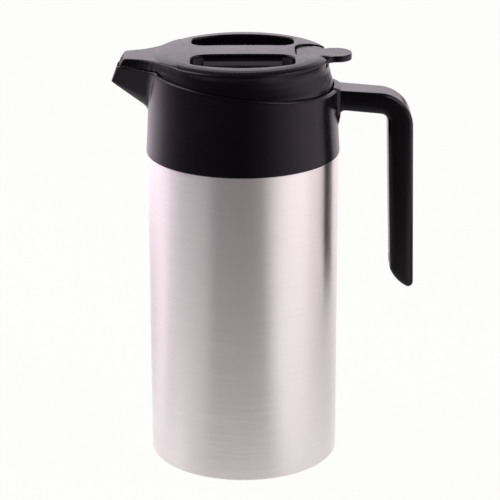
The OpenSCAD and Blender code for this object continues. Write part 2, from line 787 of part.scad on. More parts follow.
// Outline of a finger pit on the +Y side, moved out by g
function pit_outline(g) = let(
        half = pit_len / 2,
        y_in = grip_bar / 2,
        big_c = [0, pit_reach - pit_edge_r],
        tip_x = half - pit_tip_r,
        tip_y = big_c.y + sqrt((pit_edge_r - pit_tip_r) ^ 2 - tip_x ^ 2),
        a = atan2(tip_y - big_c.y, tip_x),
        side = concat(
            arc([half - pit_corner_r, y_in + pit_corner_r], pit_corner_r + g, -90, 0),
            arc([tip_x, tip_y], pit_tip_r + g, 0, a),
            arc(big_c, pit_edge_r + g, a, 90)))
    concat(side, back(flip(side)));

// Outer surface of the lid from the crown down to the skirt's edge, d inside
function lid_path(d) = concat(
    [for (u = [0, 0.37, 0.74, 0.85, 0.92]) [(lid_r - d) * u, lid_z - (lid_crown - rim_fall) * u ^ 2.4 - d]],
    [[lid_r - lid_round - d, edge_z + rim_fall - d], [lid_r - d, edge_z - lid_round - d],
        [lid_r - tuck_d - d, edge_z - 0.27 * tuck_h], [lid_r - tuck_d - d, edge_z - 0.33 * tuck_h],
        [lid_r - tuck_d / 2 - d, edge_z - tuck_h / 2], [skirt_r - 1.2 * tuck_d - d, edge_z - 0.71 * tuck_h],
        [skirt_r - tuck_d / 5 - d, edge_z - 0.87 * tuck_h],
        [skirt_r - d, edge_z - tuck_h], [skirt_r - d, skirt_z]]);

module lid_shell() {
    inner = lid_path(skirt_t);
    thicker = [for (p = inner) p.x < base_r ? [p.x, p.y - lid_t + skirt_t] : p];
    rotate_extrude() polygon(concat(lid_path(0), back(thicker)));
}

// The bill lies over the spout and runs into the lid's edge
module bill() {
    top = lid_z - bill_drop;
    low = spout_top_z + bill_gap;
    half = [[-bill_x + bill_root_in, 1.27 * bill_root_w], [-bill_x, bill_root_w],
        [-0.8 * bill_x - 0.2 * bill_reach, bill_mid_w + 3], [-(bill_x + bill_reach) / 2, bill_mid_w - 1],
        [-bill_reach, bill_front_w]];
    difference() {
        slab(low, top) polygon(concat(half, back([for (p = half) [p.x, -p.y]])));
        translate([-bill_reach, -beyond / 2, low]) rotate([0, bill_rake, 0])
            translate([-beyond, 0, -beyond / 2]) cube([beyond, beyond, beyond]);
        translate([0, 0, low - 1]) cylinder(h = beyond, r = lid_r - 1.5 * skirt_t);
    }
}

// Ribs beside the lever that carry its pin
module lever_ribs() {
    rib_x = plate_x - plate_corner_r;
    for (s = [-1, 1]) {
        translate([rib_x, s * rib_y - rib_t / 2, pit_z])
            cube([lid_r - tuck_d - skirt_t - rib_x, rib_t, pin_z - pit_z + pass_gap]);
        translate([pin_x, s * rib_y, pin_z]) rotate([90, 0, 0])
            cylinder(h = rib_t, r = pin_r + 1, center = true);
    }
}

// Outline of the lever's plate inside the lid, wider by g
module plate_outline(g) {
    r = plate_corner_r + g;
    x0 = plate_x - g;
    w = plate_w + g;
    translate([x0 + r, -w]) square([lid_r - x0, 2 * w]);
    translate([x0, -w + r]) square([r + 1, 2 * (w - r)]);
    for (s = [-1, 1]) translate([x0 + r, s * (w - r)]) circle(r = r);
}

module lid_screw_bosses() {
    for (a = [60, 180, 300]) rotate([0, 0, a]) translate([lid_screw_x, 0, pit_z])
        cylinder(h = lid_z - lid_boss_drop - pit_z, r = lid_boss_r);
}

// The hollow of one finger pit, less the ledge along the grip bar
module pit_hollow() {
    y0 = grip_bar / 2;
    top = lid_z - ledge_drop;
    difference() {
        slab(pit_z + pit_wall, lid_z + ledge_drop) polygon(pit_outline(0));
        rotate([90, 0, 90]) translate([0, 0, -ledge_len]) linear_extrude(2 * ledge_len)
            polygon([[y0 - 1, pit_z], [y0 + ledge_w, pit_z], [y0 + ledge_w, top - ledge_fall],
                [y0, top], [y0 - 1, top]]);
    }
}

module lid_cover() {
    window_x = -lid_screw_x - lid_boss_r - fit_gap;
    color("#1a181b") difference() {
        union() {
            difference() {
                union() {
                    lid_shell();
                    bill();
                    for (s = [0, 1]) mirror([0, s, 0])
                        slab(pit_z, lid_z - lid_t) polygon(pit_outline(pit_wall));
                }
                slab(plate_z0 - slot_low, lid_z + slot_low) difference() {
                    plate_outline(lever_slit);
                    for (s = [0, 1]) mirror([0, s, 0]) polygon(pit_outline(pit_wall - rib_lap));
                }
            }
            lever_ribs();
            lid_screw_bosses();
        }
        for (s = [0, 1]) mirror([0, s, 0]) pit_hollow();
        translate([pin_x, 0, pin_z]) rotate([90, 0, 0])
            cylinder(h = 2 * (rib_y + rib_t), r = pin_r + 0.02, center = true);
        translate([window_x - neck_r, -window_w, skirt_z - 1])
            cube([neck_r, 2 * window_w, spout_top_z - bill_gap - skirt_z]);
        for (a = [60, 180, 300]) rotate([0, 0, a]) translate([lid_screw_x, 0, pit_z - 1])
            cylinder(h = lid_screw_len + 1, r = lid_screw_r);
    }
}

module lid_base() {
    color("#2a2a2c") difference() {
        ring(base_r, guide_r + run_gap, base_z, pit_z);
        for (a = [60, 180, 300]) rotate([0, 0, a]) translate([lid_screw_x, 0, base_z - 1])
            cylinder(h = base_t + 2, r = lid_screw_r + fit_gap);
    }
}

module lid_screws() {
    color("lightgray") for (a = [60, 180, 300]) rotate([0, 0, a]) translate([lid_screw_x, 0, base_z]) {
        translate([0, 0, -lid_head_t]) cylinder(h = lid_head_t, r = lid_head_r);
        translate([0, 0, -eps]) cylinder(h = lid_screw_len + eps, r = lid_screw_r);
    }
}

module lever_pin() {
    color("lightgray") translate([pin_x, 0, pin_z]) rotate([90, 0, 0])
        cylinder(h = 2 * rib_y + rib_t, r = pin_r, center = true);
}

// Outline of the lever from above: the plate ends flush with the lid's edge, and the tab stands out of it
module lever_outline() {
    fillet_x = sqrt((lid_r + tab_fillet_r) ^ 2 - (tab_w + tab_fillet_r) ^ 2);
    share = lid_r / (lid_r + tab_fillet_r);
    intersection() {
        plate_outline(0);
        circle(r = lid_r);
    }
    translate([lid_r - tab_w, -tab_w]) square([tab_out, 2 * tab_w]);
    translate([lever_reach - tab_w, 0]) circle(r = tab_w);
    for (s = [-1, 1]) difference() {
        polygon([[lid_r - tab_w / 2, s * (tab_w - 1)], [fillet_x, s * (tab_w - 1)],
            [fillet_x, s * (tab_w + tab_fillet_r)],
            [fillet_x * share - 0.3, s * (tab_w + tab_fillet_r) * share]]);
        translate([fillet_x, s * (tab_w + tab_fillet_r)]) circle(r = tab_fillet_r);
    }
}

// The plate turns on the pin, and the forked arm under the grip bar lifts the stem's head
module thumb_lever() {
    arm_end = -lever_arm_w;
    color("#1a181b") difference() {
        union() {
            slab(plate_z0, plate_top) lever_outline();
            translate([pin_x, 0, pin_z]) rotate([90, 0, 0])
                cylinder(h = 2 * hub_half, r = pin_r + pin_wall, center = true);
            translate([arm_end, -lever_arm_w, lever_arm_z])
                cube([pin_x - arm_end, 2 * lever_arm_w, lever_arm_t]);
            translate([plate_x, -lever_arm_w, lever_arm_z])
                cube([pin_x - plate_x, 2 * lever_arm_w, plate_z0 - lever_arm_z + eps]);
        }
        translate([pin_x, 0, pin_z]) rotate([90, 0, 0])
            cylinder(h = 4 * hub_half, r = pin_r + run_gap, center = true);
        slab(lever_arm_z - 1, lever_arm_z + lever_arm_t + 1) {
            circle(r = stem_neck_r + pass_gap);
            translate([-pin_x, -stem_neck_r - pass_gap]) square([pin_x, 2 * (stem_neck_r + pass_gap)]);
        }
    }
}

outer_shell();
inner_liner();
bottom_plate();
vacuum_port_cap();
base_cover();
foot_pad();
collar();
neck_gasket();
neck_ring();
handle_shell();
handle_insert();
handle_screws();
stopper_cup();
stopper_gasket();
stopper_cap();
retaining_clip();
valve_stem();
valve_disc();
valve_seal();
stem_head();
valve_spring();
lid_cover();
lid_base();
lid_screws();
lever_pin();
thumb_lever();
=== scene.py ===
"""The thermal carafe's looks: finished outer pieces, materials, light and camera.

The outer plastic pieces are described by distances to their surfaces in millimetres and meshed on a fine
grid, which rounds their edges and fills their corners. The steel shell is turned from an outline. The rest
keeps the part's own solids under the same materials.
"""

import json
import math

import bpy
import numpy as np
from mathutils import Matrix, Vector


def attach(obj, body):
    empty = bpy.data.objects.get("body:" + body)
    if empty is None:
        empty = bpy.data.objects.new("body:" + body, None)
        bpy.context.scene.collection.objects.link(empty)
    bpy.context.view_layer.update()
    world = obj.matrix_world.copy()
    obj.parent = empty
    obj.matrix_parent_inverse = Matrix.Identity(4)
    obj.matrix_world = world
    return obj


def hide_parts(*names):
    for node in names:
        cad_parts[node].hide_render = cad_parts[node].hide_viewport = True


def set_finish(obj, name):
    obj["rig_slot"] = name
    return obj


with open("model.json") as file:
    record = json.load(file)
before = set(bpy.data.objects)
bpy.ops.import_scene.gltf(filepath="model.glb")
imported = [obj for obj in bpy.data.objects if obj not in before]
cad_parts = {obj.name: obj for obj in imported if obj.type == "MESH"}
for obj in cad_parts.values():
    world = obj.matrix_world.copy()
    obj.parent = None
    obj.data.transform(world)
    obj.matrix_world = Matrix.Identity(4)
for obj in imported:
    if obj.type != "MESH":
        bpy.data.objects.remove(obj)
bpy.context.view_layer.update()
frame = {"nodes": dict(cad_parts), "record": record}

MM = 0.001

# Steps in millimetres: of a table, of a smooth curve, and to either side of a point whose slope is taken
TABLE_STEP, CURVE_STEP, CURVE_MARGIN = 0.2, 0.1, 10
DRAW_ROUNDS, DRAW_STEP, NORMAL_STEP = 4, 0.05, 0.3
SHARP_DEGREES = 35


# Forms from distances


def common(a, b, r):
    """The common part of two solids, with the edge between them rounded."""
    return np.minimum(np.maximum(a, b), -r) + np.hypot(np.maximum(a + r, 0), np.maximum(b + r, 0))


def joined(a, b, r):
    """Two solids as one, with the corner between them filled."""
    return -common(-a, -b, r)


def less(a, b, r):
    """The first solid without the second, with a rounded edge."""
    return common(a, -b, r)


def between(value, lo, hi):
    """The layer where a value lies between two others."""
    return np.maximum(lo - value, value - hi)


def outline(points):
    """Distance to a closed outline in a plane, negative inside."""
    p = np.asarray(points, float)
    q = np.roll(p, -1, axis=0)

    def distance(u, v):
        u, v = np.broadcast_arrays(u, v)
        best = np.full(u.shape, 1e9)
        inside = np.zeros(u.shape, bool)
        for (ax, ay), (bx, by) in zip(p, q):
            ex, ey = bx - ax, by - ay
            square = ex * ex + ey * ey
            if square < 1e-12:
                continue
            t = np.clip(((u - ax) * ex + (v - ay) * ey) / square, 0, 1)
            best = np.minimum(best, (u - ax - t * ex) ** 2 + (v - ay - t * ey) ** 2)
            if ay != by:
                crosses = (ay > v) != (by > v)
                inside ^= crosses & (u < ax + (v - ay) * ex / ey)
        best = np.sqrt(best)
        return np.where(inside, -best, best)

    return distance


def table(distance, lo, hi):
    """The same distance, read from a fine table."""
    us = np.arange(lo[0], hi[0] + TABLE_STEP, TABLE_STEP)
    vs = np.arange(lo[1], hi[1] + TABLE_STEP, TABLE_STEP)
    grid = distance(us[:, None], vs[None, :])

    def look(u, v):
        u, v = np.broadcast_arrays(u, v)
        a = np.clip((u - us[0]) / TABLE_STEP, 0, len(us) - 1.001)
        b = np.clip((v - vs[0]) / TABLE_STEP, 0, len(vs) - 1.001)
        i, j = a.astype(int), b.astype(int)
        a, b = a - i, b - j
        return (grid[i, j] * (1 - a) * (1 - b) + grid[i + 1, j] * a * (1 - b)
                + grid[i, j + 1] * (1 - a) * b + grid[i + 1, j + 1] * a * b)

    return look


def curve(stations, values, soft):
    """A curve through the given stations, its corners softened over a length."""
    at = np.arange(stations[0] - CURVE_MARGIN, stations[-1] + CURVE_MARGIN, CURVE_STEP)
    raw = np.interp(at, stations, values)
    n = int(soft / CURVE_STEP)
    kernel = np.hanning(2 * n + 3)
    kernel /= kernel.sum()
    smooth = np.convolve(np.pad(raw, n + 1, mode="edge"), kernel, mode="valid")
    return lambda t: np.interp(t, at, smooth)


def gradient(f, p, e):
    """The slope of a distance at the given points, from samples e to either side."""
    g = np.empty_like(p)
    for k in range(3):
        d = np.zeros(3)
        d[k] = e
        a, b = p + d, p - d
        g[:, k] = (f(a[:, 0], a[:, 1], a[:, 2]) - f(b[:, 0], b[:, 1], b[:, 2])) / (2 * e)
    return g


def placed(name, data):
    """A new object in the scene."""
    obj = bpy.data.objects.new(name, data)
    bpy.context.scene.collection.objects.link(obj)
    return obj


def grown(name, f, lo, hi, step):
    """A mesh of the solid f, made on a grid and then drawn onto its surface."""
    axes = [np.arange(lo[k], hi[k] + step, step) for k in range(3)]
    x, y, z = axes[0][:, None, None], axes[1][None, :, None], axes[2][None, None, :]
    v = np.broadcast_to(f(x, y, z), [len(a) for a in axes]).astype(np.float32)
    inside = v < 0
    count = np.zeros([n - 1 for n in v.shape], np.int8)
    corners = [(i, j, k) for i in (0, 1) for j in (0, 1) for k in (0, 1)]
    for i, j, k in corners:
        count += inside[i:v.shape[0] - 1 + i, j:v.shape[1] - 1 + j, k:v.shape[2] - 1 + k]
    cells = np.argwhere((count > 0) & (count < len(corners)))
    number = np.full(count.shape, -1, np.int32)
    number[tuple(cells.T)] = np.arange(len(cells))
    total = np.zeros((len(cells), 3))
    hits = np.zeros(len(cells))
    for a in corners:
        for axis in range(3):
            if a[axis]:
                continue
            b = list(a)
            b[axis] = 1
            va = v[tuple((cells + a).T)]
            vb = v[tuple((cells + b).T)]
            cut = (va < 0) != (vb < 0)
            t = np.where(cut, va / np.where(cut, va - vb, 1), 0)
            at = np.array(a, float)[None, :] + np.zeros((len(cells), 3))
            at[:, axis] += t
            total += at * cut[:, None]
            hits += cut
    points = (cells + total / hits[:, None]) * step + np.array(lo, float)
    faces = []
    for axis in range(3):
        b, c = (axis + 1) % 3, (axis + 2) % 3
        first = [slice(None)] * 3
        second = [slice(None)] * 3
        first[axis] = slice(0, -1)
        second[axis] = slice(1, None)
        edges = np.argwhere(inside[tuple(first)] != inside[tuple(second)])
        kept = (edges[:, b] > 0) & (edges[:, c] > 0)
        kept &= (edges[:, b] < v.shape[b] - 1) & (edges[:, c] < v.shape[c] - 1)
        edges = edges[kept]
        out = inside[tuple(edges.T)]
        quad = []
        for db, dc in ((1, 1), (0, 1), (0, 0), (1, 0)):
            cell = edges.copy()
            cell[:, b] -= db
            cell[:, c] -= dc
            quad.append(number[tuple(cell.T)])
        quad = np.stack(quad, 1)
        quad[~out] = quad[~out][:, ::-1]
        faces.append(quad)
    faces = np.concatenate(faces)
    for turn in range(DRAW_ROUNDS):
        g = gradient(f, points, DRAW_STEP)
        size = np.maximum((g * g).sum(1), 0.05)
        move = -(f(points[:, 0], points[:, 1], points[:, 2]) / size)[:, None] * g
        far = np.linalg.norm(move, axis=1)
        move *= np.minimum(1, 0.5 * step / np.maximum(far, 1e-9))[:, None]
        points += move
    normals = gradient(f, points, NORMAL_STEP)
    normals /= np.maximum(np.linalg.norm(normals, axis=1), 1e-9)[:, None]
    mesh = bpy.data.meshes.new(name)
    mesh.vertices.add(len(points))
    mesh.vertices.foreach_set("co", (points * MM).ravel())
    mesh.loops.add(4 * len(faces))
    mesh.loops.foreach_set("vertex_index", faces.ravel().astype(np.int32))
    mesh.polygons.add(len(faces))
    mesh.polygons.foreach_set("loop_start", np.arange(0, 4 * len(faces), 4, dtype=np.int32))
    mesh.polygons.foreach_set("use_smooth", np.ones(len(faces), bool))
    mesh.update(calc_edges=True)
    mesh.validate()
    mesh.normals_split_custom_set_from_vertices(normals)
    return placed(name, mesh)


def lathe(name, profile, turns):
    """A body of revolution from a closed outline of radii and heights."""
    p = np.asarray(profile, float)
    angles = np.arange(turns) * 2 * math.pi / turns
    radii = p[None, :, 0]
    heights = np.broadcast_to(p[None, :, 1], (turns, len(p)))
    rings = [radii * np.cos(angles)[:, None], radii * np.sin(angles)[:, None], heights]
    points = np.stack(rings, -1).reshape(-1, 3)
    i = np.arange(turns)[:, None] * len(p)
    j = (np.arange(turns)[:, None] + 1) % turns * len(p)
    a = np.arange(len(p))[None, :]
    b = (a + 1) % len(p)
    faces = np.stack([i + a, j + a, j + b, i + b], -1).reshape(-1, 4)
    mesh = bpy.data.meshes.new(name)
    mesh.from_pydata((points * MM).tolist(), [], faces.tolist())
    mesh.shade_smooth()
    obj = placed(name, mesh)
    mesh.set_sharp_from_angle(angle=math.radians(SHARP_DEGREES))
    return obj


def arc(c, r, a0, a1, n=10):
    """Points of an arc round c, from one angle to another in degrees."""
    angles = [math.radians(a0 + (a1 - a0) * i / n) for i in range(n + 1)]
    return [(c[0] + r * math.cos(a), c[1] + r * math.sin(a)) for a in angles]


def mirrored(points, sx, sy):
    """An outline's half followed by its mirror image."""
    return points + [(sx * a, sy * b) for a, b in points[::-1]]


# Sizes in millimetres: the part's own, or up to about a millimetre off where the photo shows the form so
BODY_R, STEEL_H, STEEL_T = 60.0, 201.6, 0.8
BASE_HOLE_R, BASE_Z, BASE_ROUND = 54, 0.3, 1
WALL_LOW, WALL_HIGH, WALL_RINGS = 12, 192, 10
CHAMFER, SHOULDER_C, SHOULDER_R = 2.8, (42.2, 212.4), 15
NECK_R, NECK_TOP = 35.8, 239.6

DECK_Z, DECK_T, DECK_OUT = 236.4, 2.5, 57.5
HUB_IN, HUB_OUT, HUB_LOW = 36.2, 39.2, 228.4
RIM_Z, RIM_TILT, RIM_COS, RIM_ROUND = 250.6, 0.12, 0.9929, 1.9
MOUTH_R, MOUTH_ROUND, FOOT_ROUND = 56.8, 0.5, 0.4

# The spout: where its sides, its keel and its front pass, and which way they face
SPOUT_TOP, TIP, BEAK_END = 257.3, (-82.1, 245.9), -40
SIDE_X, SIDE_Y, SIDE_DIR = -57, 20, (-0.5, 0.8, -0.30)
KEEL_DIR, FRONT_DIR = (-0.602, -0.799), (-0.933, 0.359)
KEEL_X, KEEL_ROUND, LIP_ROUND, TOP_ROUND = [-82, -59], [0.8, 9.5], 0.4, 0.6
BEAK_FILLET, SPOUT_WALL, CHANNEL_END = 2.5, 2.2, -50

# The handle: its outer corner, its arm, its grip and the boss on the collar
CORNER, HANDLE_W, GRIP_T, GRIP_END = (106.5, 238.8), 24.0, 16.3, 112.5
ARM_FALL, UNDER_FALL = math.radians(4.5), math.radians(6.4)
LEAN, FRONT_LEAN = math.radians(0.8), math.radians(1.55)
ARM_START, UNDER_Z, BEND_R = 50, 224.8, 22.2
INNER_BEND_R, INNER_BEND_Z = 5, 226
END_R, CUT_R, END_DIR, CUT_RISE = 3.1, 23.8, -119.3, 12
CROWN_X, CROWN_DEPTH, CROWN_W = [85, 100], [1.4, 0.9], 6
EDGE_X, EDGE_ROUND = [62, 94], [0.8, 2.6]
BOSS_X, BOSS_ROUND, BOSS_FILLET, BOSS_TAIL, ARM_COS = 60.3, 0.8, 4, 5, 0.995
ROOT_R, SEAM, SEAM_ROUND = 3.0, 0.05, 0.12
POCKET_HALF, POCKET_DEPTH, POCKET_X, POCKET_Z = 9.05, 3, 74.4, 129.3
POCKET_BACK, POCKET_OVER, POCKET_ROUND = 10.5, 4.5, 0.25

# The lid: its top by radius, its side by height, the bill and the finger pits
LID_Z, LID_R, SKIRT_Z, LID_SOFT = 266.4, 54.4, 238.4, 1.2
TOP_R = [0, 20, 40.5, 46.5, 50, 52.5, LID_R, 60]
TOP_Z = [LID_Z, 266.25, 265.7, 265.35, 264.85, 264.1, 263.2, 260.4]
SIDE_Z = [SKIRT_Z, 245.1, 247.7, 250.7, 254.9, 258.2, 261, 263.0, 264.0, 270]
SIDE_R = [56.1, 56.1, 55.9, 55.0, 53.95, 53.5, 53.8, 54.3, LID_R, LID_R]
BROW_ROUND, SKIRT_ROUND, LID_WALL, LID_ROOF, HOLLOW_LOW = 1.1, 0.5, 2, 2.2, 230
SWELL, SWELL_X, SWELL_W, SWELL_TOP, SWELL_H = 1.5, -50, 5, 259.5, 2
BILL_HALF = [(-40, 34), (-44.5, 30.4), (-48, 26.4), (-51, 22.6), (-54, 19.2), (-57, 16.7), (-60.5, 14.6),
             (-64, 13.0), (-69, 11.6), (-73, 10.7), (-75.5, 9.8), (-76.9, 8.2), (-77.5, 5.0)]
BILL_TIP, BILL_DIR, BILL_LOW, BILL_END = (-77.5, 257.4), (-0.818, 0.576), 258.15, -36
BILL_TOP, BILL_RISE, BILL_X, BILL_FILLET = 263.55, 0.02, -56, 2.0
FLARE_X, FLARE = [-76, -72, -64, -57, -51, -45], [0, 0.2, 2.1, 2.6, 1.6, 0]
FLARE_TOP, FLARE_H, FLARE_MOST = 263.2, 4.9, 1.05
PIT_Z, PIT_IN, PIT_OUT, PIT_HALF = 250.55, 11.6, 40.5, 32.0
PIT_EDGE, PIT_CORNER, PIT_END, PIT_ROUND = 57.3, 9, 6, 1.1
PIT_WALL, WELL_TOP = 2, 265
LEDGE_Z, LEDGE_FALL, LEDGE_W, LEDGE_HALF = 261.8, 0.47, 3, 24.5
SLOT_GAP, SLOT_DEPTH, SLOT_KEEP, SLOT_ROUND = 0.45, 2.2, 1.2, 0.4
WINDOW_X, WINDOW_HALF, WINDOW_TOP = -50.1, 17, 256.3

# The thumb lever: plate, tab, and the arm that reaches the valve's stem
PIN, PIN_HOLE_R, HUB_R, HUB_HALF = (40.0, 258.2), 1.56, 3.2, 9.2
PLATE_TOP, PLATE_LOW, PLATE_IN, PLATE_OUT = 264.5, 260.6, 33, 58
PLATE_HALF, PLATE_CORNER = 16, 9
TAB_X, TAB_HALF, TAB_R, TAB_START, TAB_FILLET = 58.2, 1.5, 9.5, 46, 4
FALL, FALL_Y, FALL_X, FALL_W, BROW_DROP = 0.06, 7.5, 56, 6, 0.7
LEVER_Z, LEVER_HALF, LEVER_END, POST_Z, FORK_R = 256.2, 4.5, -4.5, 258.5, 2.4


# Collar with its spout
wall_r = curve([STEEL_H, 214.6, 227.6, 260], [60.8, 59.96, 59.4, 59.4], 4)
inner_r = curve([STEEL_H, 211.4, 221.6, 260], [57.8, 57.6, MOUTH_R, MOUTH_R], 0.3)


def arm_z(x):
    """Height of the arm's upper side."""
    return CORNER[1] + (CORNER[0] - x) * math.tan(ARM_FALL)


def under_z(x):
    """Height of the arm's lower side."""
    return UNDER_Z + (CORNER[0] - x) * math.tan(UNDER_FALL)


def crown(x, side):
    """How far the handle's flanks draw in towards the edges of its side view."""
    share = np.minimum(np.maximum(-side, 0), CROWN_W) / CROWN_W
    return np.interp(x, CROWN_X, CROWN_DEPTH) * (1 - share) ** 2


def spout(x, y, z, d):
    """The spout's wedge, smaller by d all round."""
    ahead = SIDE_DIR[0] * (x - SIDE_X)
    up = SIDE_DIR[2] * (z - SPOUT_TOP)
    near = ahead - SIDE_DIR[1] * (y + SIDE_Y) + up + d
    far = ahead + SIDE_DIR[1] * (y - SIDE_Y) + up + d
    keel = KEEL_DIR[0] * (x - TIP[0]) + KEEL_DIR[1] * (z - TIP[1]) + d
    return common(common(near, far, 0.6 - 0.1 * d), keel, np.interp(x, KEEL_X, KEEL_ROUND))


def collar(x, y, z):
    """Wall with a tilted rim, spout, boss for the handle, deck, and the hub round the neck."""
    rho = np.hypot(x, y)
    rim = (z - RIM_Z + RIM_TILT * x) * RIM_COS
    body = common(common(rho - wall_r(z), rim, RIM_ROUND), STEEL_H - z, FOOT_ROUND)
    front = FRONT_DIR[0] * (x - TIP[0]) + FRONT_DIR[1] * (z - TIP[1])
    beak = common(common(spout(x, y, z, 0), front, LIP_ROUND), z - SPOUT_TOP, TOP_ROUND)
    body = joined(body, np.maximum(beak, x - BEAK_END), BEAK_FILLET)
    below = np.maximum(under_z(x) - ROOT_R - z, 0)
    side = np.maximum((z - arm_z(x)) * ARM_COS, under_z(x) - ROOT_R - BOSS_TAIL - z)
    boss = common(np.abs(y) - HANDLE_W / 2 + crown(x, side) + 0.5 * below, side, BOSS_ROUND)
    boss = np.maximum(common(boss, x - BOSS_X + 0.25 * below, SEAM_ROUND), ARM_START - x)
    body = joined(body, boss, BOSS_FILLET)
    hollow = rho - inner_r(z)
    channel = np.maximum(np.maximum(spout(x, y, z, SPOUT_WALL), DECK_Z - z), x - CHANNEL_END)
    body = less(body, np.minimum(hollow, channel), MOUTH_ROUND)
    deck = np.maximum(between(rho, HUB_IN, DECK_OUT), between(z, DECK_Z - DECK_T, DECK_Z))
    hub = np.maximum(between(rho, HUB_IN, HUB_OUT), between(z, HUB_LOW, DECK_Z))
    return np.minimum(np.minimum(body, deck), hub)


# Handle


def back_x(z):
    """Where the grip's outer side passes."""
    return CORNER[0] + (CORNER[1] - z) * math.tan(LEAN)


def front_x(z):
    """Where the grip's side towards the body passes."""
    return CORNER[0] - GRIP_T + (CORNER[1] - z) * math.tan(FRONT_LEAN)


def bent(corner, r, fall, lean):
    """Arc of radius r in the corner between the arm and the grip."""
    t = r * math.tan((math.radians(90) - fall + lean) / 2)
    c = (corner[0] - math.cos(fall) * t - math.sin(fall) * r,
         corner[1] + math.sin(fall) * t - math.cos(fall) * r)
    return arc(c, r, 90 - math.degrees(fall), math.degrees(lean), 24)


end_z = GRIP_END + END_R
end_c = (back_x(end_z) - END_R, end_z)
cut_reach = CUT_R - END_R
cut_c = (end_c[0] - cut_reach * math.cos(math.radians(END_DIR)),
         end_c[1] - cut_reach * math.sin(math.radians(END_DIR)))
cut_z = end_z + CUT_RISE
cut_dir = -math.degrees(math.acos((front_x(cut_z) - cut_c[0]) / CUT_R))
in_x = front_x(INNER_BEND_Z)
root_x = BOSS_X + SEAM + ROOT_R
root_c = (root_x, under_z(root_x) - ROOT_R / math.cos(UNDER_FALL))
arm_top = [(ARM_START, arm_z(ARM_START))] + bent(CORNER, BEND_R, ARM_FALL, LEAN)
grip_end = arc(end_c, END_R, 0, END_DIR) + arc(cut_c, CUT_R, END_DIR - 1, cut_dir)
inner_bend = bent((in_x, under_z(in_x)), INNER_BEND_R, UNDER_FALL, FRONT_LEAN)[::-1]
grip_front = [(front_x(cut_z), cut_z)] + inner_bend
root = arc(root_c, ROOT_R, 90 - math.degrees(UNDER_FALL), 180, 12) + [(ARM_START, root_c[1])]
handle_side = table(outline(arm_top + grip_end + grip_front + root), (48, 105), (115, 250))


def handle(x, y, z):
    """Arm and grip in one, with the recess for the insert on the inner side."""
    side = handle_side(x, z)
    flank = np.abs(y) - HANDLE_W / 2 + crown(x, side)
    solid = common(side, flank, np.interp(x, EDGE_X, EDGE_ROUND))
    solid = common(solid, BOSS_X + SEAM - x, SEAM_ROUND)
    pocket = np.maximum(np.abs(y) - POCKET_HALF, np.abs(side + POCKET_DEPTH / 2) - POCKET_DEPTH / 2)
    pocket = np.maximum(np.maximum(pocket, POCKET_X - x), POCKET_Z - z)
    inner = np.maximum(x - back_x(z) + POCKET_BACK, z - under_z(x) - POCKET_OVER)
    return less(solid, np.maximum(pocket, inner), POCKET_ROUND)


# Lid with its bill
lid_top = curve([-r for r in TOP_R[:0:-1]] + TOP_R, TOP_Z[:0:-1] + TOP_Z, LID_SOFT)
lid_side = curve(SIDE_Z, SIDE_R, LID_SOFT)
edge_y = PIT_OUT - PIT_EDGE
horn_x = PIT_HALF - PIT_END
horn_y = edge_y + math.sqrt((PIT_EDGE - PIT_END) ** 2 - horn_x ** 2)
horn_dir = math.degrees(math.atan2(horn_y - edge_y, horn_x))
pit_half = (arc((PIT_HALF - PIT_CORNER, PIT_IN + PIT_CORNER), PIT_CORNER, -90, 0)
            + arc((horn_x, horn_y), PIT_END, 0, horn_dir)
            + arc((0, edge_y), PIT_EDGE, horn_dir, 90, 16))
pit_plan = table(outline(mirrored(pit_half, -1, 1)), (-60, -5), (60, 60))
bill_plan = table(outline(mirrored(BILL_HALF, 1, -1)), (-80, -36), (-30, 36))
corner_x, corner_y = PLATE_IN + PLATE_CORNER, PLATE_HALF - PLATE_CORNER
plate_points = ([(PLATE_OUT, -PLATE_HALF), (PLATE_OUT, PLATE_HALF)]
                + arc((corner_x, corner_y), PLATE_CORNER, 90, 180)
                + arc((corner_x, -corner_y), PLATE_CORNER, 180, 270))
plate_plan = table(outline(plate_points), (25, -25), (72, 25))


